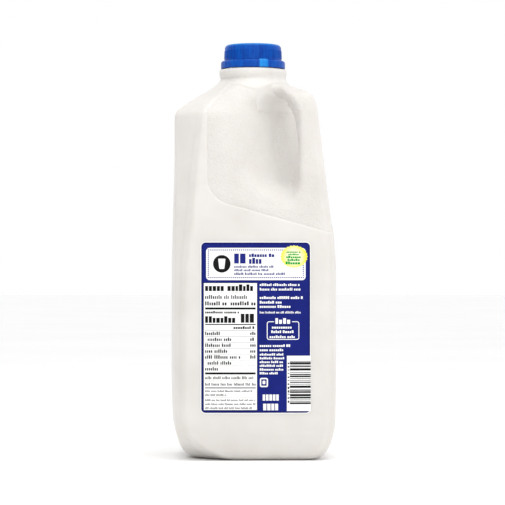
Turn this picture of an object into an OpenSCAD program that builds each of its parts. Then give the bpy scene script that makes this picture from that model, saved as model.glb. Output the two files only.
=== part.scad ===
// Half-gallon blow-moulded milk jug with a corner handle, a screw cap and a front label.
// +Z is up, the label faces -Y and the handle stands in the (+X, -Y) corner.
// The mould closes on the diagonal plane y = -x, and the two halves mirror each other there.

/* [Body] */
// Width across the flat sides of the lower body
body_w = 98; // [82:1:118]
// How far each side panel swells out at its middle
panel_swell = 2; // [0.5:0.25:3]
// Height of the shoulder's outer edge
shoulder_z = 213; // [180:0.5:260]
// How far the two handle sides lean in at the top of the grip
lean_in = 11; // [6:0.5:13]
// Height at which the lean starts
lean_z = 122; // [90:1:140]
// Inset of the standing face from the sides
base_inset = 12.5; // [8:0.5:18]
// Height of the rounding round the base
base_round = 27; // [15:1:35]
// Depth of the hollow under the base
push_up = 2.5; // [1:0.5:5]
// Radius of the hollow under the base
push_up_r = 24; // [12:1:26]

/* [Corners] */
// Leg of the plain corners along the lower body
corner_leg = 7; // [4:0.5:10]
// Leg of the two side corners at the shoulder
side_leg_top = 17.5; // [10:0.5:22]
// Leg of the two side corners at the ground
side_leg_base = 24; // [14:0.5:28]
// Height at which the side corners have narrowed from the ground
side_leg_z = 23; // [15:1:40]
// Leg of the handle corner
grip_leg = 5; // [3:0.5:7]

/* [Shoulder and neck] */
// Rise from the shoulder's edge to the foot of the neck
shoulder_rise = 22; // [17:0.5:26]
// Radius at the foot of the neck
neck_foot_r = 20.5; // [20:0.1:21]
// Radius of the groove under the ring
groove_r = 19.8; // [18:0.1:19.9]
// Radius of the ring round the neck
ring_r = 21.1; // [20.5:0.1:24]
// Height of the ring
ring_h = 5.4; // [4:0.1:8]
// Height of the groove under the ring
groove_h = 1.7; // [1.5:0.1:4]
// Radius of the finish inside the cap
finish_r = 16.2; // [12:0.1:18]

/* [Handle] */
// Height of the grip's top corner above the shoulder's edge
grip_up = 11.5; // [8:0.5:14]
// Thickness of the grip, from each handle side to the finger gap
grip_t = 17; // [14:0.5:20]
// Width of the finger gap along X
gap_w = 13.7; // [10:0.5:18]
// Height of the finger gap
gap_h = 50; // [40:1:60]
// Height of the gap's top above the shoulder's edge
gap_top_up = 6.5; // [2:0.1:7]
// How far the gap slants outwards towards its foot
gap_slant = 7.2; // [3:0.2:8]
// Reach of the scoop from the gap towards the far side
scoop_reach = 40; // [30:1:48]
// Half width of the scoop's floor where it starts
scoop_foot = 10; // [6:1:20]
// Height of the scoop's floor below the gap
scoop_drop = 15; // [10:0.5:22]
// Share of the depth that the steep throat makes
throat_share = 0.6; // [0.2:0.05:0.8]
// Rounding of the grip's edge
grip_round = 4.5; // [2:0.5:6]
// How far the scoop's edge draws in beside the arch
arch_in = 8; // [4:0.5:11]
// Height over which the gap closes at its foot
gap_close = 11; // [6:0.5:16]

/* [Cap] */
// Radius of the cap's side
cap_r = 17.9; // [17.5:0.1:20]
// Thickness of the cap's wall
cap_wall = 1.3; // [1:0.1:2]
// Height of the cap above the band
cap_h = 10.1; // [8:0.1:14]
// Rounding of the cap's top edge
cap_round = 3.2; // [1:0.1:4]
// Radius of the tamper band
band_r = 20.1; // [18.5:0.1:22]
// Height of the tamper band
band_h = 4.9; // [3:0.1:7]
// Number of grip ribs round the cap
rib_count = 36; // [24:2:60]
// Width of a grip rib
rib_w = 1; // [0.5:0.1:1.4]
// How far a grip rib stands out
rib_out = 0.3; // [0.2:0.05:0.6]
// Gap between the cap's wall and the finish
cap_clear = 0.4; // [0.2:0.05:0.8]
// Width of the tear tab on the band
tab_w = 5.5; // [3:0.5:8]
// Turn of the tear tab from the front
tab_turn = 18; // [-60:1:60]
// How far the tear tab stands out
tab_out = 0.5; // [0.3:0.1:1]

/* [Label] */
// Width of the label
label_w = 67; // [50:1:70]
// Height of the label
label_h = 104.3; // [80:0.5:105]
// Height of the label's lower edge
label_z = 29.2; // [26:0.5:40]
// Radius of the label's corners
label_round = 3; // [1:0.5:6]
// Thickness of the label
label_t = 0.25; // [0.15:0.05:0.5]

/* [Hidden] */

half = body_w/2;
neck_z = shoulder_z + shoulder_rise;
grip_z = shoulder_z + grip_up;
ring_z = neck_z + groove_h;
band_z = ring_z + ring_h + 0.3;
cap_z = band_z + band_h;
cap_top = cap_z + cap_h;
finish_top = cap_top - cap_wall;

gap_top = shoulder_z + gap_top_up;
gap_foot = gap_top - gap_h;
gap_out = half - lean_in/2 - grip_t;
gap_in = gap_out - gap_w;
floor_z = gap_foot - scoop_drop;
slant_z = gap_foot + 0.64*gap_h;
arch_top = neck_z - 2;
crease_high = arch_top;
crease_low = 2*shoulder_z - crease_high;
lean_soft = 0.1;
parting_lap = 0.4;

side_steps = 8;
outside = 70;
proud = 0.15;
throat_power = 3.5;
bowl_power = 2.2;
shoulder_soft = 0.5;
gap_least = 0.8;
gap_narrow = 0.97;
foot_power = 2.1;
leg_power = 0.85;
toe_power = 1.55;
leg_lead = 8;
swell_lead = 15;
wall_lead = 8;
wall_lag = 4;

base_levels = [0, 0.05, 0.13, 0.25, 0.4, 0.6, 0.8, 1];
wall_levels = [0.12, 0.25, 0.4, 0.5, 0.6, 0.69, 0.77, 0.85, 0.93, 1];
shoulder_levels = [0.12, 0.26, 0.4, 0.54, 0.68, 0.82, 0.92, 1];

function clamp01(t) = min(1, max(0, t));
function ease(t) = let (c = clamp01(t)) c*c*(3 - 2*c);
function lerp(a, b, t) = a + (b - a)*t;
function above(z, low, high) = clamp01((z - low)/(high - low));

// Distance of the far sides and of the two handle sides from the axis
function base_curve(z) = base_inset*(1 - sqrt(1 - pow(1 - above(z, 0, base_round), 2)));
function shoulder_part(z) = let (t = above(z, shoulder_z, neck_z)) lerp(t, ease(t), shoulder_soft);
function far_side(z) = lerp(half - base_curve(z), neck_foot_r, shoulder_part(z));
function lean(z) = let (t = above(z, lean_z, grip_z)) lean_in*(1 + lean_soft)*t*t/(t + lean_soft);
function near_side(z) = lerp(half - lean(z) - base_curve(z), neck_foot_r, shoulder_part(z));
function grip_side(z) = lerp(half - lean(z) - base_curve(z), neck_foot_r, pow(above(z, grip_z, neck_z), 1.5));

// Legs of the corners, which all fade as the shoulder turns round
function fade(z) = near_side(max(z, shoulder_z))/near_side(shoulder_z);
function side_leg(z) = fade(z)*(corner_leg
    + (side_leg_base - corner_leg)*pow(1 - above(z, 0, side_leg_z), toe_power)
    + (side_leg_top - corner_leg)*pow(above(z, lean_z - leg_lead, shoulder_z), leg_power));
function swell(z) = panel_swell*ease(z/40)*(1 - ease((z - lean_z + swell_lead)/(shoulder_z - lean_z)));

// One side of a section, swelling from p to q, and the closed section at height z
function side(p, q, out, z) = [for (i = [0 : side_steps]) let (t = i/side_steps)
    p + (q - p)*t + out*4*t*(1 - t)*swell(z)];
function square_section(z) = let (n = near_side(z), f = far_side(z), s = side_leg(z), a = grip_side(z),
        g = grip_leg, b = corner_leg*fade(z))
    concat(side([s - f, -n], [a - g, -a], [0, -1], z), side([a, g - a], [n, f - s], [1, 0], z),
        side([n - s, f], [b - f, f], [0, 1], z), side([-f, f - b], [-f, s - n], [-1, 0], z));
function round_part(z) = pow(above(z, shoulder_z, neck_z), 3.5);
function section(z) = [for (p = square_section(z)) lerp(p, far_side(z)*p/norm(p), round_part(z))];
function ring3(z, skin) = [for (p = section(z)) let (q = p*(1 + skin/norm(p))) [q.x, q.y, z]];

function levels() = concat([for (t = base_levels) t*base_round],
    [for (t = wall_levels) lerp(base_round, shoulder_z, t)],
    [for (t = shoulder_levels) lerp(shoulder_z, neck_z, t)]);

// Solid outline of the body: each band is the hull of two sections
module body_outline(skin = 0) {
    zs = levels();
    for (i = [0 : len(zs) - 2]) {
        points = concat(ring3(zs[i], skin), ring3(zs[i + 1], skin));
        hull() polyhedron(points, [[for (k = [0 : len(points) - 1]) k]]);
    }
}

// Left edge and right edge of the finger gap at height z
function gap_left(z) = gap_in + gap_slant*pow(1 - above(z, gap_foot, slant_z), 1.5);
function gap_right(z) = gap_left(z) + gap_least + (gap_out - gap_left(z) - gap_least)*(z < gap_foot + gap_close
    ? 1 - pow(1 - above(z, gap_foot, gap_foot + gap_close), 1.6)
    : sqrt(1 - gap_narrow*pow(above(z, gap_foot + 0.4*gap_h, gap_top), 2)));

// Depth of the scoop: full beside the gap, none at the floor line and at the top of the arch
function full_depth(z) = near_side(z) - gap_left(max(z, gap_foot));
function foot_part(z) = pow(above(z, floor_z, gap_foot), foot_power);
function top_part(z) = 1 - ease(above(z, gap_top - 3, arch_top));
function scoop_depth(z) = full_depth(z)*foot_part(z)*top_part(z);
function crease_cut(z) = let (t = above(z, crease_low, crease_high)) near_side(z) - (z < crease_low
    ? near_side(z)
    : (1 - t)*(1 - t)*near_side(crease_low) + 2*t*(1 - t)*near_side(shoulder_z) + t*t*near_side(crease_high));
function scoop_left(z) = gap_left(z) - lerp(scoop_foot, scoop_reach, sqrt(1 - pow(1 - above(z, floor_z, floor_z + 2*scoop_drop), 2)));
function depth_share(t) = throat_share*pow(1 - t, throat_power) + (1 - throat_share)*pow(1 - t, bowl_power);
function flank(z) = arch_in*ease(above(z, gap_top - gap_close, neck_z - 3));
function wall_part(z) = ease(above(z, floor_z, gap_foot + gap_close))
    *(1 - ease(above(z, gap_top - wall_lead, gap_top + wall_lag)));
function wall_x(z) = lerp(gap_left(gap_foot) + 2, gap_out, wall_part(z)) - flank(z);

// Plan of the cut at height z: in along the scoop, along the parting plane, out past the grip's edge
scoop_steps = 14;
gap_steps = 4;
edge_steps = 5;
function to_parting(p) = [p.x, min(p.y, parting_lap - p.x)];
function scoop_wall(z) = [for (i = [0 : scoop_steps]) let (t = 1 - i/scoop_steps)
    to_parting([lerp(gap_left(z), scoop_left(z), t),
        scoop_depth(z)*depth_share(t) + crease_cut(z)*sqrt(1 - t) - near_side(z) - proud])];
function gap_line(z) = [for (i = [1 : gap_steps]) let (x = lerp(gap_left(z), gap_right(z), i/gap_steps))
    to_parting([x, scoop_depth(z) + crease_cut(z) - near_side(z) - proud])];
function edge_x(z) = max(wall_x(z), gap_right(z));
function edge_out(z) = gap_out + grip_round - flank(z);
function edge_w(z) = max(edge_out(z) - edge_x(z), grip_round);
function face_y(z) = -lerp(near_side(z), grip_side(z),
    above(edge_x(z) + edge_w(z), side_leg(z) - far_side(z), grip_side(z) - grip_leg));
function edge_line(z) = let (depth = scoop_depth(z) + crease_cut(z) - near_side(z) - face_y(z),
        r = lerp(depth, min(grip_round, depth/2), wall_part(z)))
    [for (i = [0 : edge_steps]) let (a = 90*i/edge_steps)
        [edge_x(z) + edge_w(z)*(1 - cos(a)), r*(1 - sin(a)) + face_y(z) - proud]];
function cut_plan(z) = concat([[scoop_left(z) - 1, -outside]], scoop_wall(z), gap_line(z), edge_line(z),
    [[edge_x(z) + edge_w(z) + 0.5, -outside]]);

cut_levels = concat([for (i = [0 : 5]) lerp(floor_z, gap_foot, i/5)],
    [for (i = [1 : 5]) lerp(gap_foot, gap_foot + gap_close + 1, i/5)],
    [for (i = [1 : 6]) lerp(gap_foot + gap_close + 1, gap_top - wall_lead, i/6)],
    [for (i = [1 : 9]) lerp(gap_top - wall_lead, arch_top, i/9)]);

module half_pocket() {
    n = len(cut_plan(gap_foot));
    rows = len(cut_levels);
    points = [for (z = cut_levels) for (p = cut_plan(z)) [p.x, p.y, z]];
    polyhedron(points, concat(
        [[for (k = [n - 1 : -1 : 0]) k]],
        [for (r = [0 : rows - 2]) for (k = [0 : n - 1]) let (a = r*n + k, b = r*n + (k + 1)%n)
            each [[a, b, a + n], [b, b + n, a + n]]],
        [[for (k = [0 : n - 1]) (rows - 1)*n + k]]));
}

module neck() {
    translate([0, 0, neck_z - 0.5]) rotate_extrude($fn = 64) polygon([
        [0, 0], [neck_foot_r, 0], [neck_foot_r, 0.5],
        [groove_r, groove_h*0.6 + 0.5], [groove_r, groove_h + 0.3],
        [ring_r - 0.7, groove_h + 0.6], [ring_r, groove_h + 1.4],
        [ring_r, groove_h + ring_h - 0.4], [ring_r - 0.7, groove_h + ring_h + 0.4],
        [finish_r, groove_h + ring_h + 0.5], [finish_r, finish_top - neck_z + 0.5], [0, finish_top - neck_z + 0.5]]);
}

module jug() {
    color([0.93, 0.92, 0.9]) difference() {
        union() {
            body_outline();
            neck();
        }
        half_pocket();
        mirror([1, 1, 0]) half_pocket();
        translate([0, 0, -1]) cylinder(push_up + 1, push_up_r + 1, push_up_r - push_up, $fn = 48);
    }
}

// Cap and tamper band, one moulding, seated on the top of the finish
module cap() {
    inner_r = finish_r + cap_clear;
    color([0.09, 0.32, 0.7]) difference() {
        union() {
            rotate_extrude($fn = 96) polygon(concat(
                [[0, band_z], [band_r, band_z], [band_r, band_z + band_h - 1.2], [cap_r + 0.5, cap_z],
                    [cap_r, cap_z]],
                [for (a = [0 : 15 : 90]) [cap_r - cap_round*(1 - cos(a)), cap_top - cap_round*(1 - sin(a))]],
                [[0, cap_top]]));
            for (i = [0 : rib_count - 1]) rotate([0, 0, 360*i/rib_count])
                translate([cap_r - 0.3, -rib_w/2, cap_z - 0.4]) cube([0.3 + rib_out, rib_w, cap_h - cap_round]);
            rotate([0, 0, tab_turn - 90]) translate([band_r - 1, -tab_w/2, band_z])
                cube([1 + tab_out, tab_w, band_h - 0.6]);
        }
        translate([0, 0, band_z - 1]) cylinder(finish_top - band_z + 1, inner_r, inner_r, $fn = 96);
    }
}

// Thin label that lies on the swollen front panel
module label() {
    color([0.13, 0.22, 0.55]) difference() {
        intersection() {
            body_outline(label_t);
            translate([0, 0, label_z + label_h/2]) rotate([90, 0, 0]) linear_extrude(outside)
                offset(label_round, $fn = 32) square([label_w - 2*label_round, label_h - 2*label_round], true);
        }
        body_outline();
    }
}

jug();
cap();
label();
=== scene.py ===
import math
import random

import bmesh
import bpy
import numpy as np
from mathutils import Matrix, Vector


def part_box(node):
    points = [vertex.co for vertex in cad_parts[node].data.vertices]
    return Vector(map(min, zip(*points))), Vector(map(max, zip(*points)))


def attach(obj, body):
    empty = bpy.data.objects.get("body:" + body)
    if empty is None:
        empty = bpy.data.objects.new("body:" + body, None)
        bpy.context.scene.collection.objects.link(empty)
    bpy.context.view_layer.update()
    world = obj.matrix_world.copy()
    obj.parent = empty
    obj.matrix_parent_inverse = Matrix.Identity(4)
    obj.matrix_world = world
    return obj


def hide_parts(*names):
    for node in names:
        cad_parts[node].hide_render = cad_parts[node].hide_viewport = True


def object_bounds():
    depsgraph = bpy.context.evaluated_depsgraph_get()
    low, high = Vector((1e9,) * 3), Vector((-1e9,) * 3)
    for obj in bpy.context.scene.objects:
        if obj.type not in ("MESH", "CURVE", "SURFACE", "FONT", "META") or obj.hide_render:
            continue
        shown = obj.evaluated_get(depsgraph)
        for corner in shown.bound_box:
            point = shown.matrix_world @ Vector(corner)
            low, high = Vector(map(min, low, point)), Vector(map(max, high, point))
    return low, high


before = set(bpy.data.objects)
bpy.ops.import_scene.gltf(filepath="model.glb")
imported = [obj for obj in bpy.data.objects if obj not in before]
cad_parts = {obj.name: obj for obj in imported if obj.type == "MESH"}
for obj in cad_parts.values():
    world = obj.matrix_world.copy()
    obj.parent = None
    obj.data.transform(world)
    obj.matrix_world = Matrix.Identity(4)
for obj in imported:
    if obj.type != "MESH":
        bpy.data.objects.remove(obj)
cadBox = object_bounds()

mm = 0.001
jugLow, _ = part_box("jug")
capLow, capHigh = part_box("cap")
labelLow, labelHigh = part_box("label")
wholeLow, wholeHigh = cadBox
root2 = math.sqrt(2)
hair = 0.01 * mm  # slack when something is found by its place


def deselectAll():
    if bpy.context.mode != "OBJECT":
        bpy.ops.object.mode_set(mode="OBJECT")
    bpy.ops.object.select_all(action="DESELECT")


def workOn(piece):
    deselectAll()
    piece.select_set(True)
    bpy.context.view_layer.objects.active = piece


def editOn(piece, kind="FACE"):
    workOn(piece)
    bpy.ops.object.mode_set(mode="EDIT")
    bpy.ops.mesh.select_mode(type=kind)


def editOff():
    bpy.ops.object.mode_set(mode="OBJECT")


def pickFaces(piece, test):
    bpy.ops.mesh.select_all(action="DESELECT")
    mesh = bmesh.from_edit_mesh(piece.data)
    for face in mesh.faces:
        if test(face.calc_center_median(), face.normal):
            face.select_set(True)
    bmesh.update_edit_mesh(piece.data)


def pickEdges(piece, test):
    bpy.ops.mesh.select_all(action="DESELECT")
    mesh = bmesh.from_edit_mesh(piece.data)
    for edge in mesh.edges:
        ends = [corner.co for corner in edge.verts]
        if all(test(end) for end in ends):
            edge.select_set(True)
    bmesh.update_edit_mesh(piece.data)


def cutAll(place, normal):
    bpy.ops.mesh.select_all(action="SELECT")
    bpy.ops.mesh.bisect(plane_co=place, plane_no=normal)


def applyAll(piece):
    workOn(piece)
    for modifier in list(piece.modifiers):
        bpy.ops.object.modifier_apply(modifier=modifier.name)


def settle(piece):
    # the place goes into the mesh, as on a CAD node
    workOn(piece)
    bpy.ops.object.transform_apply(location=True, rotation=True, scale=True)


def smoothEdges(piece, degrees):
    workOn(piece)
    bpy.ops.object.shade_smooth_by_angle(angle=math.radians(degrees))


def joinPieces(pieces, name):
    deselectAll()
    for piece in pieces:
        piece.select_set(True)
    bpy.context.view_layer.objects.active = pieces[0]
    bpy.ops.object.join()
    whole = bpy.context.view_layer.objects.active
    whole.name = name
    return whole


def ease(value):
    value = np.clip(value, 0, 1)
    return value * value * (3 - 2 * value)


def paint(red, green, blue):
    # screen colour, 0 to 255, to linear light
    linear = []
    for part in (red, green, blue):
        share = part / 255
        linear.append(share / 12.92 if share < 0.04045 else ((share + 0.055) / 1.055) ** 2.4)
    return (*linear, 1)


def startFinish(name, roughness, specular=0.5):
    finish = bpy.data.materials.new(name)
    finish.use_nodes = True
    tree = finish.node_tree
    shader = tree.nodes["Principled BSDF"]
    shader.inputs["Roughness"].default_value = roughness
    shader.inputs["Specular IOR Level"].default_value = specular
    return finish, tree, shader


def addPlace(tree, stretch=(1, 1, 1)):
    coords = tree.nodes.new("ShaderNodeTexCoord")
    mapping = tree.nodes.new("ShaderNodeMapping")
    mapping.inputs["Scale"].default_value = stretch
    tree.links.new(coords.outputs["Object"], mapping.inputs["Vector"])
    return mapping.outputs["Vector"]


def addNoise(tree, place, size, detail=2.0):
    # size is the width of one blotch in metres
    noise = tree.nodes.new("ShaderNodeTexNoise")
    noise.inputs["Scale"].default_value = 1 / size
    noise.inputs["Detail"].default_value = detail
    tree.links.new(place, noise.inputs["Vector"])
    return noise.outputs["Fac"]


def addRamp(tree, source, low, high, lowAt=0.3, highAt=0.7):
    ramp = tree.nodes.new("ShaderNodeValToRGB")
    ramp.color_ramp.elements[0].position = lowAt
    ramp.color_ramp.elements[0].color = low
    ramp.color_ramp.elements[1].position = highAt
    ramp.color_ramp.elements[1].color = high
    tree.links.new(source, ramp.inputs["Fac"])
    return ramp.outputs["Color"]


def addRange(tree, source, low, high, fromLow=0.0, fromHigh=1.0):
    span = tree.nodes.new("ShaderNodeMapRange")
    span.inputs["From Min"].default_value = fromLow
    span.inputs["From Max"].default_value = fromHigh
    span.inputs["To Min"].default_value = low
    span.inputs["To Max"].default_value = high
    tree.links.new(source, span.inputs["Value"])
    return span.outputs["Result"]


def addMath(tree, kind, first, second):
    node = tree.nodes.new("ShaderNodeMath")
    node.operation = kind
    for socket, value in zip(node.inputs, (first, second)):
        if isinstance(value, (int, float)):
            socket.default_value = value
        else:
            tree.links.new(value, socket)
    return node.outputs["Value"]


def addMix(tree, share, first, second):
    mix = tree.nodes.new("ShaderNodeMix")
    mix.data_type = "RGBA"
    tree.links.new(share, mix.inputs["Factor"])
    for socket, value in ((mix.inputs["A"], first), (mix.inputs["B"], second)):
        if isinstance(value, tuple):
            socket.default_value = value
        else:
            tree.links.new(value, socket)
    return mix.outputs["Result"]


def addBump(tree, height, distance, strength=1.0, under=None):
    bump = tree.nodes.new("ShaderNodeBump")
    bump.inputs["Distance"].default_value = distance
    bump.inputs["Strength"].default_value = strength
    tree.links.new(height, bump.inputs["Height"])
    if under is not None:
        tree.links.new(under, bump.inputs["Normal"])
    return bump.outputs["Normal"]


jug = {
    "voxel": 1.15 * mm,
    "smoothing": 6,
    "leastSmoothing": 0.12,  # share of it that the crisp neck still gets
    "crispFrom": 233 * mm,  # the neck keeps its crisp ring above this
    "crispSpan": 3 * mm,
    "archSpot": (17 * mm, -17 * mm, 222 * mm),  # where the handle's arch runs into the shoulder
    "archReach": 17 * mm,
    "footSpot": (24 * mm, -24 * mm, 165 * mm),  # the floor of the finger gap
    "footReach": 8 * mm,
    "spotSmoothing": 70,
    "spotFull": 1.4,  # above 1, the middle of a spot is smoothed fully
    "panelEdge": -29.5 * mm,  # left edge of the stippled panel, along the face
    "panelCorner": (-23.9 * mm, 158.4 * mm),  # a point on its sloping lower edge
    "panelSlope": math.radians(15.6),
    "panelRound": 12 * mm,
    "panelShoulder": 215 * mm,  # where its left edge turns in towards the neck
    "panelTurn": 0.9,  # how far it turns in for each unit of height
    "panelNeck": 24.5 * mm,  # radius at which it ends under the neck
    "panelDepth": 0.65 * mm,
    "panelStep": 1.0 * mm,
    "noseReach": 55 * mm,  # x - y beyond which the surface is the outer corner
    "noseFacing": 0.86,  # how squarely a face looks out of that corner
    "noseBlend": 0.08,
    "gapHeights": (165 * mm, 226 * mm),  # round the finger gap the parting line is finer
    "gapReach": (14 * mm, 46 * mm),
    "seamHalf": 0.35 * mm,
    "seamRise": 0.2 * mm,
    "ventRise": 0.4 * mm,
    "pinchRise": 0.12 * mm,
    "stippleGrain": 0.9 * mm,
    "stippleDepth": 0.55 * mm,
}


def panelDistance(places):
    # how far inside the stippled panel each place lies; both handle sides share it
    x, y, z = places[:, 0], places[:, 1], places[:, 2]
    along = np.where(x + y < 0, x, -y)
    turn = np.maximum(z - jug["panelShoulder"], 0)
    fromEdge = along - jug["panelEdge"] - jug["panelTurn"] * turn
    cornerAlong, cornerUp = jug["panelCorner"]
    slope = jug["panelSlope"]
    fromFoot = (along - cornerAlong) * math.sin(slope) + (z - cornerUp) * math.cos(slope)
    radius = jug["panelRound"]
    shortEdge = np.maximum(radius - fromEdge, 0)
    shortFoot = np.maximum(radius - fromFoot, 0)
    inside = radius - np.hypot(shortEdge, shortFoot)
    fromNeck = np.hypot(x, y) - jug["panelNeck"]
    return np.minimum(inside, np.where(z > jug["panelShoulder"], fromNeck, inside))


def readMesh(piece):
    count = len(piece.data.vertices)
    places = np.zeros(count * 3)
    normals = np.zeros(count * 3)
    piece.data.vertices.foreach_get("co", places)
    piece.data.vertices.foreach_get("normal", normals)
    return places.reshape(-1, 3), normals.reshape(-1, 3)


def writeMesh(piece, places):
    piece.data.vertices.foreach_set("co", places.ravel())
    piece.data.update()


def weigh(piece, name, shares):
    # even levels are fine enough for a smoothing weight
    levels = 20
    group = piece.vertex_groups.new(name=name)
    for level in range(1, levels + 1):
        members = np.nonzero(np.ceil(shares * levels) == level)[0]
        group.add([int(member) for member in members], level / levels, "REPLACE")


def makeJugSkin():
    skin = bpy.data.objects.new("jug_skin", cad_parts["jug"].data.copy())
    bpy.context.scene.collection.objects.link(skin)
    editOn(skin, "VERT")
    bpy.ops.mesh.select_all(action="SELECT")
    bpy.ops.mesh.remove_doubles(threshold=hair)
    editOff()
    remesh = skin.modifiers.new("even", "REMESH")
    remesh.mode = "VOXEL"
    remesh.voxel_size = jug["voxel"]
    applyAll(skin)
    places, normals = readMesh(skin)
    below = ease((jug["crispFrom"] - places[:, 2]) / jug["crispSpan"] + 0.5)
    spots = np.zeros(len(places))
    for spot in ("arch", "foot"):
        apart = np.linalg.norm(places - np.array(jug[spot + "Spot"]), axis=1)
        spots = np.maximum(spots, ease(jug["spotFull"] - apart / jug[spot + "Reach"]))
    weigh(skin, "blown", np.maximum(below, jug["leastSmoothing"]))
    weigh(skin, "spots", spots)
    for name, rounds in (("blown", jug["smoothing"]), ("spots", jug["spotSmoothing"])):
        smooth = skin.modifiers.new(name, "SMOOTH")
        smooth.factor = 0.5
        smooth.iterations = rounds
        smooth.vertex_group = name
    applyAll(skin)
    skin.vertex_groups.clear()
    print("jug: even skin,", len(skin.data.polygons), "faces")
    return skin


def stepPanel(skin):
    # finer faces along the panel's edge, then the panel sinks by its depth
    editOn(skin)
    band = 1.6 * jug["panelStep"]
    mesh = bmesh.from_edit_mesh(skin.data)
    bpy.ops.mesh.select_all(action="DESELECT")
    centres = np.array([face.calc_center_median() for face in mesh.faces])
    near = np.abs(panelDistance(centres)) < band
    for face, close in zip(mesh.faces, near):
        if close:
            face.select_set(True)
    bmesh.update_edit_mesh(skin.data)
    bpy.ops.mesh.subdivide(number_cuts=1)
    editOff()
    places, normals = readMesh(skin)
    share = ease(panelDistance(places) / jug["panelStep"] + 0.5)
    writeMesh(skin, places - normals * (share * jug["panelDepth"])[:, None])


def raiseSeams(skin):
    # one line of the mould runs through the handle, another through the side corners
    editOn(skin)
    for across in (Vector((1, 1, 0)), Vector((1, -1, 0))):
        across.normalize()
        for offset in (-jug["seamHalf"], 0, jug["seamHalf"]):
            cutAll(across * offset, across)
    editOff()
    places, normals = readMesh(skin)
    x, y, z = places[:, 0], places[:, 1], places[:, 2]
    outward = (x - y) / root2
    low, high = jug["gapHeights"]
    near, far = jug["gapReach"]
    inGap = (z > low) & (z < high) & (outward > near) & (outward < far)
    onParting = np.abs(x + y) < hair
    onOther = np.abs(x - y) < hair
    rise = np.where(onOther, jug["ventRise"], 0.0)
    rise = np.where(onParting, np.where(inGap, jug["pinchRise"], jug["seamRise"]), rise)
    places = places + normals * rise[:, None]
    places[:, 2] = np.maximum(places[:, 2], jugLow.z)
    writeMesh(skin, places)


def markStipple(skin):
    # the smooth outer corner of the handle interrupts the stipple
    places, normals = readMesh(skin)
    share = ease(panelDistance(places) / jug["panelStep"])
    facing = (normals[:, 0] - normals[:, 1]) / root2
    outer = (places[:, 0] - places[:, 1]) > jug["noseReach"]
    nose = np.where(outer, ease((facing - jug["noseFacing"]) / jug["noseBlend"]), 0)
    stipple = skin.data.attributes.new("stipple", "FLOAT", "POINT")
    stipple.data.foreach_set("value", (share * (1 - nose)).astype(np.float32))


def jugPlastic():
    finish, tree, shader = startFinish("jug plastic", 0.42, 0.45)
    place = addPlace(tree)
    stipple = tree.nodes.new("ShaderNodeAttribute")
    stipple.attribute_name = "stipple"
    share = stipple.outputs["Fac"]
    cloud = addNoise(tree, place, 22 * mm, 3.0)
    base = addRamp(tree, cloud, paint(213, 209, 204), paint(220, 217, 213))
    tree.links.new(base, shader.inputs["Base Color"])
    grain = addNoise(tree, place, jug["stippleGrain"], 1.0)
    pebbles = addMath(tree, "MULTIPLY", grain, share)
    peel = addNoise(tree, place, 7 * mm, 2.0)
    soft = addBump(tree, peel, 0.12 * mm)
    rough = addBump(tree, pebbles, jug["stippleDepth"], under=soft)
    tree.links.new(rough, shader.inputs["Normal"])
    gloss = addRange(tree, share, 0.36, 0.52)
    haze = addRange(tree, addNoise(tree, place, 3 * mm), -0.04, 0.04)
    tree.links.new(addMath(tree, "ADD", gloss, haze), shader.inputs["Roughness"])
    shader.inputs["Subsurface Weight"].default_value = 0.5
    shader.inputs["Subsurface Radius"].default_value = (1.0, 0.9, 0.8)
    shader.inputs["Subsurface Scale"].default_value = 5 * mm
    return finish


def buildJug():
    skin = makeJugSkin()
    stepPanel(skin)
    raiseSeams(skin)
    markStipple(skin)
    skin.data.materials.clear()
    skin.data.materials.append(jugPlastic())
    workOn(skin)
    bpy.ops.object.shade_smooth()
    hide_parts("jug")
    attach(skin, "root")
    print("jug: done,", len(skin.data.polygons), "faces")
    return skin


cap = {
    "paintedHighlightFrom": 255.9 * mm,  # painted highlight: from here up the base colour turns light blue, standing in for light shining through the top edge; the whole top is light blue too
    "paintedHighlightTo": 257.3 * mm,
    "paintedHighlight": paint(10, 140, 214),
    "sides": 480,
    "radius": 17.9 * mm,
    "draft": 0.35 * mm,  # how much narrower the top is
    "edgeRound": 2.4 * mm,
    "wall": 1.3 * mm,
    "ribs": 120,
    "ribRise": 0.22 * mm,
    "ribSlope": 0.05 * mm,
    "ribFoot": 1.0 * mm,
    "ribHead": 3.9 * mm,
    "topRim": 1.4 * mm,
    "topSink": 0.35 * mm,
    "bandHeight": 4.9 * mm,
    "bandRadius": 20.1 * mm,
    "bandSides": 180,
    "bandWall": 1.9 * mm,
    "bandRound": 1.7 * mm,
    "bandFoot": 0.25 * mm,
    "seat": 0.15 * mm,
    "tabTurn": math.radians(18),
    "tabHalf": math.radians(8),
    "tabRise": 0.25 * mm,
    "tabSlope": 0.15 * mm,
}


def angleAt(place):
    # zero in front, growing towards +X
    return math.atan2(place.x, -place.y)


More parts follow.
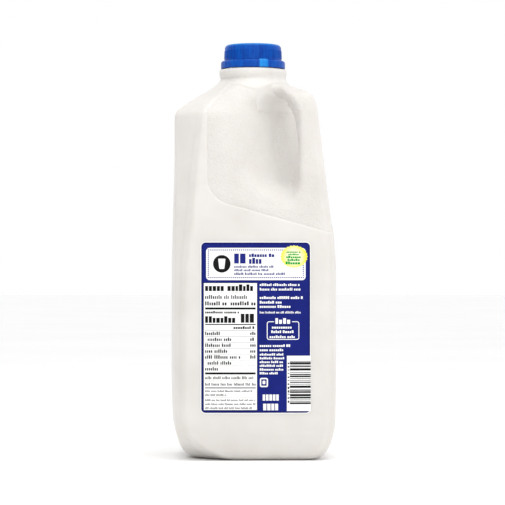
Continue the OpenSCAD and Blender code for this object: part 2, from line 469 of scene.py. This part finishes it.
def buildCapShell():
    foot = capLow.z + cap["bandHeight"] + cap["seat"]
    height = capHigh.z - foot
    deselectAll()
    bpy.ops.mesh.primitive_cone_add(
        vertices=cap["sides"],
        radius1=cap["radius"],
        radius2=cap["radius"] - cap["draft"],
        depth=height,
        location=(0, 0, foot + height / 2),
    )
    shell = bpy.context.object
    shell.name = "cap_shell"
    settle(shell)
    editOn(shell)
    ribFoot = foot + cap["ribFoot"]
    ribHead = capHigh.z - cap["ribHead"]
    for level in (ribFoot, ribHead):
        cutAll((0, 0, level), (0, 0, 1))
    bpy.ops.mesh.select_mode(type="EDGE")
    pickEdges(shell, lambda end: end.z > capHigh.z - hair)
    bpy.ops.mesh.bevel(offset=cap["edgeRound"], segments=8, affect="EDGES")
    bpy.ops.mesh.select_mode(type="FACE")
    pickFaces(shell, lambda centre, normal: normal.z > 0.99 and centre.xy.length < mm)
    bpy.ops.mesh.inset(thickness=cap["topRim"])
    bpy.ops.mesh.inset(thickness=2 * cap["topSink"], depth=-cap["topSink"])
    perRib = 2 * math.pi / cap["ribs"]

    def onRib(centre, normal):
        if not ribFoot < centre.z < ribHead:
            return False
        return (angleAt(centre) / perRib) % 1 < 0.5

    pickFaces(shell, onRib)
    bpy.ops.mesh.inset(thickness=cap["ribSlope"], depth=cap["ribRise"])
    pickFaces(shell, lambda centre, normal: normal.z < -0.99)
    bpy.ops.mesh.inset(thickness=cap["wall"])
    bpy.ops.mesh.extrude_region_move(
        TRANSFORM_OT_translate={"value": (0, 0, height - cap["wall"])}
    )
    editOff()
    smoothEdges(shell, 40)
    return shell


def onTab(place):
    outside = place.xy.length > cap["bandRadius"] - 2 * mm
    return outside and abs(angleAt(place) - cap["tabTurn"]) < cap["tabHalf"]


def buildCapBand():
    depth = cap["bandHeight"]
    deselectAll()
    bpy.ops.mesh.primitive_cylinder_add(
        vertices=cap["bandSides"],
        radius=cap["bandRadius"],
        depth=depth,
        location=(0, 0, capLow.z + depth / 2),
    )
    band = bpy.context.object
    band.name = "cap_band"
    settle(band)
    top = capLow.z + depth
    rim = cap["bandRadius"] - 5 * hair
    editOn(band, "EDGE")
    pickEdges(band, lambda end: end.z > top - hair and end.xy.length > rim)
    bpy.ops.mesh.bevel(offset=cap["bandRound"], segments=6, affect="EDGES")
    pickEdges(band, lambda end: end.z < capLow.z + hair and end.xy.length > rim)
    bpy.ops.mesh.bevel(offset=cap["bandFoot"], segments=2, affect="EDGES")
    bpy.ops.mesh.select_mode(type="FACE")
    pickFaces(band, lambda centre, normal: abs(normal.z) > 0.99 and centre.xy.length < 3 * mm)
    bpy.ops.mesh.inset(thickness=cap["bandWall"])
    bpy.ops.mesh.bridge_edge_loops()
    # the tear tab stands proud of the band
    pickFaces(band, lambda centre, normal: normal.z > -0.1 and onTab(centre))
    bpy.ops.mesh.inset(thickness=cap["tabSlope"], depth=cap["tabRise"])
    editOff()
    smoothEdges(band, 35)
    return band


def capPlastic(name, dark, light):
    finish, tree, shader = startFinish(name, 0.34, 0.15)
    streaks = addNoise(tree, addPlace(tree, (1, 1, 0.12)), 1.6 * mm, 3.0)
    base = addRamp(tree, streaks, dark, light)
    place = addPlace(tree)
    split = tree.nodes.new("ShaderNodeSeparateXYZ")
    tree.links.new(place, split.inputs["Vector"])
    # painted highlight: the base colour is mixed towards light blue over the top edge and across the whole
    # top, standing in for light shining through the thin wall
    paintedHighlight = addRange(tree, split.outputs["Z"], 0, 0.85, cap["paintedHighlightFrom"], cap["paintedHighlightTo"])
    tree.links.new(addMix(tree, paintedHighlight, base, cap["paintedHighlight"]), shader.inputs["Base Color"])
    scuffs = addNoise(tree, place, 2.5 * mm, 4.0)
    tree.links.new(addRange(tree, scuffs, 0.26, 0.46, 0.3, 0.7), shader.inputs["Roughness"])
    tree.links.new(addBump(tree, addNoise(tree, place, 0.9 * mm), 0.02 * mm), shader.inputs["Normal"])
    shader.inputs["Subsurface Weight"].default_value = 0.08
    shader.inputs["Subsurface Scale"].default_value = 1 * mm
    return finish


def buildCap():
    blue = capPlastic("cap plastic", paint(0, 54, 146), paint(0, 88, 184))
    tabBlue = capPlastic("tab plastic", paint(14, 112, 200), paint(40, 140, 218))
    shell = buildCapShell()
    shell.data.materials.append(blue)
    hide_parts("cap")
    band = buildCapBand()
    band.data.materials.append(blue)
    band.data.materials.append(tabBlue)
    for face in band.data.polygons:
        if onTab(face.center):
            face.material_index = 1
    for piece in (shell, band):
        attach(piece, "root")
        print("cap:", piece.name, len(piece.data.polygons), "faces")


label = {
    "round": 3 * mm,
    "cell": 5 * mm,  # longest stretch that stays straight on the swelling face
    "margin": 0.45 * mm,
    "filmRise": 0.08 * mm,
    "fieldRise": 0.11 * mm,
    "whiteRise": 0.15 * mm,
    "darkRise": 0.19 * mm,
    "topRise": 0.225 * mm,
    "sealRise": 0.215 * mm,
    "sealWordRise": 0.25 * mm,
    "ink": 0.05 * mm,
    "border": 1.5 * mm,  # width of the darker rim of the blue field
}
labelWidth = (labelHigh.x - labelLow.x) / mm
labelHeight = (labelHigh.z - labelLow.z) / mm


def onLabel(left, top):
    # millimetres from the label's upper left corner, a little in front of it
    return Vector((labelLow.x + left * mm, labelLow.y - 4 * mm, labelHigh.z - top * mm))


def sheetPiece(left, top, right, bottom, corner=0.0, name="sheet"):
    deselectAll()
    middle = onLabel((left + right) / 2, (top + bottom) / 2)
    bpy.ops.mesh.primitive_plane_add(size=1, location=middle, rotation=(math.pi / 2, 0, 0))
    piece = bpy.context.object
    piece.name = name
    piece.scale = ((right - left) * mm, (bottom - top) * mm, 1)
    settle(piece)
    if corner > 0:
        editOn(piece, "VERT")
        bpy.ops.mesh.select_all(action="SELECT")
        bpy.ops.mesh.bevel(offset=corner * mm, segments=6, affect="VERTICES")
        editOff()
    return piece


def hollow(piece, rim):
    # leaves only a rim of the sheet
    editOn(piece)
    bpy.ops.mesh.select_all(action="SELECT")
    bpy.ops.mesh.inset(thickness=rim * mm)
    bpy.ops.mesh.delete(type="FACE")
    editOff()
    return piece


def stamp(block, left, top, width, height):
    # one more block of the same kind, its upper left corner at left, top
    copy = bpy.data.objects.new("block", block.data.copy())
    bpy.context.scene.collection.objects.link(copy)
    place = onLabel(left + width / 2, top + height / 2)
    size = Matrix.Diagonal((width * mm, 1, height * mm, 1))
    copy.data.transform(Matrix.Translation(place) @ size)
    return copy


def makeBlock():
    deselectAll()
    bpy.ops.mesh.primitive_plane_add(size=1, rotation=(math.pi / 2, 0, 0))
    block = bpy.context.object
    settle(block)
    return block


def wordRow(block, draw, left, top, right, height, weight=0.5, gap=0.2, low=0.72):
    # a row of plain blocks that stands for a line of print
    copies = []
    place = left
    letters = draw.randint(4, 9)
    while True:
        width = height * weight * draw.uniform(0.85, 1.2)
        if place + width > right:
            return copies
        tall = height * draw.choice((low, low, 1.0))
        copies.append(stamp(block, place, top + height - tall, width, tall))
        place += width + gap * height
        letters -= 1
        if letters == 0:
            letters = draw.randint(3, 9)
            place += 0.45 * height


def pressOn(piece, skin, rise):
    editOn(piece)
    cell = label["cell"]
    for level in np.arange(labelLow.z + cell, labelHigh.z, cell):
        cutAll((0, 0, level), (0, 0, 1))
    for column in np.arange(labelLow.x + cell, labelHigh.x, cell):
        cutAll((column, 0, 0), (1, 0, 0))
    editOff()
    wrap = piece.modifiers.new("on the jug", "SHRINKWRAP")
    wrap.target = skin
    wrap.wrap_method = "PROJECT"
    wrap.wrap_mode = "ABOVE_SURFACE"
    wrap.use_project_y = True
    wrap.use_positive_direction = True
    wrap.offset = rise
    thick = piece.modifiers.new("ink", "SOLIDIFY")
    thick.thickness = label["ink"] if rise > label["filmRise"] else rise + 0.03 * mm
    thick.offset = -1
    applyAll(piece)
    smoothEdges(piece, 30)


def inkFinish(name, dark, light, roughness=0.4):
    finish, tree, shader = startFinish(name, roughness, 0.14)
    place = addPlace(tree)
    base = addRamp(tree, addNoise(tree, place, 6 * mm, 3.0), dark, light)
    tree.links.new(base, shader.inputs["Base Color"])
    film = addNoise(tree, place, 1.2 * mm, 3.0)
    tree.links.new(addRange(tree, film, roughness - 0.06, roughness + 0.06), shader.inputs["Roughness"])
    tree.links.new(addBump(tree, film, 0.012 * mm), shader.inputs["Normal"])
    return finish


def fieldFinish():
    # a darker blue border runs round the blue field
    finish, tree, shader = startFinish("label blue ink", 0.4, 0.14)
    place = addPlace(tree)
    split = tree.nodes.new("ShaderNodeSeparateXYZ")
    tree.links.new(place, split.inputs["Vector"])
    middle = (labelLow.z + labelHigh.z) / 2
    halfWide = (labelHigh.x - labelLow.x) / 2 - label["border"]
    halfTall = (labelHigh.z - labelLow.z) / 2 - label["border"]
    sideways = addMath(tree, "SUBTRACT", addMath(tree, "ABSOLUTE", split.outputs["X"], 0), halfWide)
    upright = addMath(tree, "SUBTRACT", split.outputs["Z"], middle)
    upright = addMath(tree, "SUBTRACT", addMath(tree, "ABSOLUTE", upright, 0), halfTall)
    beyond = addMath(tree, "MAXIMUM", sideways, upright)
    share = addRange(tree, beyond, 0, 1, -0.2 * mm, 0.2 * mm)
    cloud = addNoise(tree, place, 8 * mm, 3.0)
    field = addRamp(tree, cloud, paint(4, 20, 106), paint(10, 27, 116))
    tree.links.new(addMix(tree, share, field, paint(3, 12, 92)), shader.inputs["Base Color"])
    film = addNoise(tree, place, 1.2 * mm, 3.0)
    tree.links.new(addRange(tree, film, 0.34, 0.46), shader.inputs["Roughness"])
    tree.links.new(addBump(tree, film, 0.012 * mm), shader.inputs["Normal"])
    return finish


def finishPrint(pieces, name, skin, rise, finish):
    whole = joinPieces(pieces, name)
    pressOn(whole, skin, rise)
    whole.data.materials.append(finish)
    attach(whole, "root")
    print("label:", name, len(whole.data.polygons), "faces")
    return whole


header = {"left": 3.4, "top": 3.7, "right": 63.8, "bottom": 23.3, "corner": 2.2}
facts = {"left": 1.7, "top": 24.8, "right": 34.5, "bottom": 102.4, "rim": 0.28, "inner": 2.8, "end": 33.4}
column = {"left": 35.9, "right": 62.0}
emblem = {"across": 12.9, "down": 13.4, "radius": 5.3}
glass = {"left": 10.7, "top": 10.3, "right": 15.1, "bottom": 16.5, "foot": 0.68, "corner": 0.5}
seal = {"across": 56.8, "down": 9.0, "radius": 8.4, "points": 48, "notch": 0.91, "squash": 0.83}
code = {"left": 52.4, "top": 69.2, "bottom": 102.8, "barLeft": 54.2, "barTop": 72.4, "barBottom": 99.0}


def headerPrint(block, draw):
    # a dotted border, a title and three small lines
    navy = []
    left, right = header["left"] + 0.95, header["right"] - 1.1
    top, bottom = header["top"] + 0.95, header["bottom"] - 1.2
    pitch = 1.18
    dot = 0.68
    for step in range(int((right - left) / pitch) + 1):
        navy.append(stamp(block, left + step * pitch, top, dot, dot))
        navy.append(stamp(block, left + step * pitch, bottom - dot, dot, dot))
    for step in range(1, int((bottom - top) / pitch)):
        navy.append(stamp(block, left, top + step * pitch, dot, dot))
        navy.append(stamp(block, right - dot, top + step * pitch, dot, dot))
    navy += wordRow(block, draw, 20.4, 7.2, 28.6, 6.0, 0.5, 0.12, 1.0)
    navy += wordRow(block, draw, 29.4, 7.2, 44.8, 2.1, 0.62, 0.14, 0.8)
    navy += wordRow(block, draw, 29.4, 9.8, 38.9, 3.6, 0.44, 0.12, 0.8)
    navy += wordRow(block, draw, 20.4, 14.4, 44.8, 1.4, 0.42)
    navy += wordRow(block, draw, 20.4, 16.5, 42.0, 1.4, 0.42)
    navy += wordRow(block, draw, 20.4, 18.7, 52.0, 1.5, 0.42)
    return navy


def emblemPrint():
    # a plain dark roundel
    deselectAll()
    bpy.ops.mesh.primitive_circle_add(
        vertices=64,
        radius=emblem["radius"] * mm,
        fill_type="NGON",
        location=onLabel(emblem["across"], emblem["down"]),
        rotation=(math.pi / 2, 0, 0),
    )
    disc = bpy.context.object
    settle(disc)
    return disc


def glassPrint():
    # a tumbler, wider at its mouth
    tumbler = sheetPiece(glass["left"], glass["top"], glass["right"], glass["bottom"])
    foot = onLabel(emblem["across"], glass["bottom"])
    editOn(tumbler, "EDGE")
    pickEdges(tumbler, lambda end: end.z < foot.z + hair)
    bpy.ops.transform.resize(value=(glass["foot"], 1, 1), center_override=foot)
    bpy.ops.mesh.select_mode(type="VERT")
    bpy.ops.mesh.select_all(action="SELECT")
    bpy.ops.mesh.bevel(offset=glass["corner"] * mm, segments=4, affect="VERTICES")
    editOff()
    return tumbler


def sealPrint():
    # a round seal with a scalloped rim
    deselectAll()
    centre = onLabel(seal["across"], seal["down"])
    bpy.ops.mesh.primitive_circle_add(
        vertices=seal["points"],
        radius=seal["radius"] * mm,
        fill_type="NGON",
        location=centre,
        rotation=(math.pi / 2, 0, 0),
    )
    disc = bpy.context.object
    settle(disc)
    editOn(disc, "VERT")
    bpy.ops.mesh.select_all(action="DESELECT")
    mesh = bmesh.from_edit_mesh(disc.data)
    mesh.verts.ensure_lookup_table()
    for number, corner in enumerate(mesh.verts):
        if number % 2:
            corner.select_set(True)
    bmesh.update_edit_mesh(disc.data)
    bpy.ops.transform.resize(value=[seal["notch"]] * 3, center_override=centre)
    bpy.ops.mesh.select_all(action="SELECT")
    bpy.ops.mesh.bevel(offset=0.4 * mm, segments=3, affect="VERTICES")
    bpy.ops.transform.resize(value=(1, 1, seal["squash"]), center_override=centre)
    editOff()
    return disc


def sealFinish():
    finish, tree, shader = startFinish("label seal ink", 0.42, 0.14)
    coords = addPlace(tree)
    apart = tree.nodes.new("ShaderNodeVectorMath")
    apart.operation = "DISTANCE"
    centre = onLabel(seal["across"], seal["down"])
    apart.inputs[1].default_value = (centre.x, labelLow.y, centre.z)
    tree.links.new(coords, apart.inputs[0])
    share = addRange(tree, apart.outputs["Value"], 0, 1, 3.5 * mm, 8 * mm)
    cloud = addRange(tree, addNoise(tree, coords, 3 * mm), -0.1, 0.1)
    mottled = addMath(tree, "ADD", share, cloud)
    base = addRamp(tree, mottled, paint(248, 250, 205), paint(240, 238, 60), 0.1, 0.9)
    tree.links.new(base, shader.inputs["Base Color"])
    return finish


def sealWords(block, draw):
    green = []
    rows = ((5.6, 4.6, 1.0), (7.2, 3.6, 0.9), (8.5, 4.8, 1.3), (10.3, 4.0, 1.2), (12.0, 5.2, 1.5))
    for top, half, height in rows:
        left, right = seal["across"] - half, seal["across"] + half
        green += wordRow(block, draw, left, top, right, height * 1.15, 0.75, 0.14)
    return green


def factsPrint(block, draw):
    left, right = facts["inner"], facts["end"]
    wide = right - left
    dark = [hollow(sheetPiece(facts["left"], facts["top"], facts["right"], facts["bottom"]), facts["rim"])]
    dark += wordRow(block, draw, left, 25.9, right, 4.0, 0.44, 0.12, 0.76)
    dark += wordRow(block, draw, left, 32.3, 30.2, 2.4, 0.26)
    dark += wordRow(block, draw, left, 36.2, 16.1, 2.4, 0.38)
    dark += wordRow(block, draw, 18.2, 36.2, right, 2.4, 0.38)
    dark += wordRow(block, draw, left, 42.0, 23.6, 1.5, 0.6)
    dark += wordRow(block, draw, left, 45.2, 22.6, 4.0, 0.46, 0.12, 0.76)
    dark += wordRow(block, draw, 24.4, 43.7, right, 5.4, 0.4, 0.1, 1.0)
    dark += wordRow(block, draw, 20.0, 51.3, right, 1.6, 0.6)
    for top, height in ((39.9, 1.2), (49.9, 0.6), (79.3, 1.2), (88.4, 0.55)):
        dark.append(stamp(block, left, top, wide, height))
    firstRow, rowPitch = 53.8, 3.58
    ends = (13.3, 19.0, 19.0, 16.7, 24.7, 19.0, 12.2)
    for row, end in enumerate(ends):
        top = firstRow + row * rowPitch
        indent = 1.5 if row in (1, 5) else 0.0
        dark.append(stamp(block, left, top, wide, 0.14))
        dark += wordRow(block, draw, left + indent, top + 0.75, end, 2.1, 0.34)
        if row < 5:
            dark += wordRow(block, draw, right - 3.3, top + 0.75, right, 2.0, 0.42)
    for top in (31.0, 84.4, 94.2):
        dark.append(stamp(block, left, top, wide, 0.12))
    for top, height, end in ((81.7, 1.7, right), (85.6, 1.7, right)):
        dark += wordRow(block, draw, left, top, end, height, 0.26)
    for top, end in ((90.0, 31.6), (92.3, 16.0), (95.5, right), (97.9, right), (100.3, right - 2)):
        dark += wordRow(block, draw, left, top, end, 1.2, 0.26)
    return dark


def codePrint(block, draw):
    # bars of one to four widths, with a column of ticks beside them
    dark = []
    place = code["barTop"]
    unit = 0.34
    while place < code["barBottom"]:
        width = unit * draw.choice((1, 1, 2, 2, 3, 4))
        dark.append(stamp(block, code["barLeft"], place, labelWidth - code["barLeft"] - 0.1, width))
        place += width + unit * draw.choice((1, 1, 2, 2, 3))
    place = code["barTop"] + 1
    while place < code["barBottom"] - 1.5:
        dark.append(stamp(block, code["left"] + 0.5, place, 0.95, 1.3 * draw.choice((0.4, 0.7, 1))))
        place += 2.1
    return dark


def columnPrint(block, draw):
    left = column["left"]
    rows = (
        (25.3, 61.0, 1.5, 0.5), (28.0, 61.4, 1.6, 0.42),
        (33.1, 62.3, 1.6, 0.6), (35.9, 50.2, 1.6, 0.6), (38.5, 56.4, 1.6, 0.6), (42.2, 61.3, 1.3, 0.34),
        (62.3, 54.6, 1.5, 0.6), (64.9, 51.1, 1.5, 0.6),
    )
    white = []
    for top, end, height, weight in rows:
        white += wordRow(block, draw, left, top, end, height, weight)
    for row in range(6):
        white += wordRow(block, draw, left, 67.7 + row * 2.28, 51.0 if row < 5 else 47.4, 1.35, 0.58)
    box = hollow(sheetPiece(40.2, 48.3, 59.9, 59.5, 1.4), 0.45)
    editOn(box)
    # the heading interrupts the box's upper side
    for side in (44.6, 55.6):
        cutAll(onLabel(side, 0), (1, 0, 0))
    lowest = labelHigh.z - 50 * mm
    start, end = onLabel(44.6, 0).x, onLabel(55.6, 0).x
    pickFaces(box, lambda centre, normal: centre.z > lowest and start < centre.x < end)
    bpy.ops.mesh.delete(type="FACE")
    editOff()
    white.append(box)
    white += wordRow(block, draw, 45.4, 46.4, 55.2, 3.4, 0.5)
    for top, half in ((51.1, 6.8), (53.8, 7.2), (56.9, 8.2)):
        white += wordRow(block, draw, 50.1 - half, top, 50.1 + half, 1.6, 0.6)
    white.append(hollow(sheetPiece(36.0, 82.6, 40.9, 88.2, 1.0), 0.8))
    white.append(sheetPiece(37.6, 84.3, 39.3, 86.4, 0.5))
    white += wordRow(block, draw, 37.7, 92.7, 48.7, 3.7, 0.42, 0.13, 1.0)
    white += wordRow(block, draw, 38.0, 98.3, 48.5, 4.0, 0.42, 0.13, 1.0)
    return white


def buildLabel(skin):
    draw = random.Random(11)
    block = makeBlock()
    edge = label["margin"] / mm
    corner = label["round"] / mm
    film = sheetPiece(0, 0, labelWidth, labelHeight, corner)
    white = inkFinish("label film", paint(240, 240, 238), paint(248, 248, 247))
    film = finishPrint([film], "label_film", skin, label["filmRise"], white)
    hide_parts("label")
    field = sheetPiece(edge, edge, labelWidth - edge, labelHeight - edge, corner - edge)
    finishPrint([field], "label_field", skin, label["fieldRise"], fieldFinish())
    whitePieces = [
        sheetPiece(header["left"], header["top"], header["right"], header["bottom"], header["corner"]),
        sheetPiece(facts["left"], facts["top"], facts["right"], facts["bottom"]),
        sheetPiece(code["left"], code["top"], labelWidth - 0.05, code["bottom"]),
    ]
    whitePieces += columnPrint(block, draw)
    finishPrint(whitePieces, "label_white_print", skin, label["whiteRise"], white)
    navy = inkFinish("label navy ink", paint(18, 28, 112), paint(28, 38, 124))
    finishPrint(headerPrint(block, draw), "label_title_print", skin, label["darkRise"], navy)
    black = inkFinish("label black ink", paint(2, 2, 3), paint(10, 10, 11))
    darkPieces = factsPrint(block, draw) + codePrint(block, draw) + [emblemPrint()]
    finishPrint(darkPieces, "label_dark_print", skin, label["darkRise"], black)
    finishPrint([glassPrint()], "label_emblem", skin, label["topRise"], white)
    finishPrint([sealPrint()], "label_seal", skin, label["sealRise"], sealFinish())
    green = inkFinish("label green ink", paint(4, 140, 50), paint(20, 160, 66))
    finishPrint(sealWords(block, draw), "label_seal_print", skin, label["sealWordRise"], green)
    deselectAll()
    block.select_set(True)
    bpy.ops.object.delete()


studio = {
    "floorSize": 30.0,
    "turn": math.radians(-1.9),
    "distance": 1.6,
    "height": 0.1115,
    "lens": 182,
    "sensor": 36,
    "shift": 0.0505,
    "slide": -0.001,
    "sky": 1.0,
    "skyLeft": 0.5,  # the studio is a little darker low on the left
    "skyTilt": 0.8,
    "skyBlend": (-1.0, -0.45),
    "top": {"place": (0.1, -0.4, 1.15), "size": 0.7, "power": 4.8},
    "front": {"place": (0.2, -1.4, 0.4), "size": 0.8, "power": 1.3},
    "right": {"place": (1.2, 0.1, 0.4), "size": 0.6, "power": 0.25},
}


def floorFinish():
    finish, tree, shader = startFinish("studio floor", 0.7, 0.2)
    cloud = addNoise(tree, addPlace(tree), 0.4, 2.0)
    base = addRamp(tree, cloud, paint(251, 251, 251), paint(254, 254, 254))
    tree.links.new(base, shader.inputs["Base Color"])
    return finish


def buildFloor():
    deselectAll()
    bpy.ops.mesh.primitive_plane_add(size=studio["floorSize"], location=(0, 0, wholeLow.z))
    floor = bpy.context.object
    floor.name = "studio_floor"
    settle(floor)
    floor.data.materials.append(floorFinish())


def addLight(name, place, size, power):
    light = bpy.data.lights.new(name, "AREA")
    light.size = size
    light.energy = power
    lamp = bpy.data.objects.new(name, light)
    bpy.context.scene.collection.objects.link(lamp)
    lamp.location = place
    aim = Vector((0, 0, wholeHigh.z / 2)) - Vector(place)
    lamp.rotation_euler = aim.to_track_quat("-Z", "Y").to_euler()


def buildStudio():
    buildFloor()
    for name in ("top", "front", "right"):
        addLight(name + "_light", **studio[name])
    world = bpy.data.worlds.new("studio")
    world.use_nodes = True
    sky = world.node_tree.nodes["Background"]
    sky.inputs["Color"].default_value = (1, 1, 1, 1)
    tree = world.node_tree
    coords = tree.nodes.new("ShaderNodeTexCoord")
    split = tree.nodes.new("ShaderNodeSeparateXYZ")
    tree.links.new(coords.outputs["Generated"], split.inputs["Vector"])
    lifted = addMath(tree, "MULTIPLY", split.outputs["Z"], studio["skyTilt"])
    across = addMath(tree, "ADD", split.outputs["X"], lifted)
    strength = addRange(tree, across, studio["skyLeft"], studio["sky"], *studio["skyBlend"])
    tree.links.new(strength, sky.inputs["Strength"])
    scene = bpy.context.scene
    scene.world = world
    scene.view_settings.view_transform = "Standard"
    lens = bpy.data.cameras.new("camera")
    lens.lens = studio["lens"]
    lens.sensor_width = studio["sensor"]
    lens.shift_x = studio["slide"]
    lens.shift_y = studio["shift"]
    camera = bpy.data.objects.new("camera", lens)
    scene.collection.objects.link(camera)
    turn = studio["turn"]
    away = studio["distance"]
    camera.location = (math.sin(turn) * away, -math.cos(turn) * away, studio["height"])
    camera.rotation_euler = (math.pi / 2, 0, turn)
    scene.camera = camera


buildStudio()
jugSkin = buildJug()
buildCap()
buildLabel(jugSkin)
print("all pieces built")
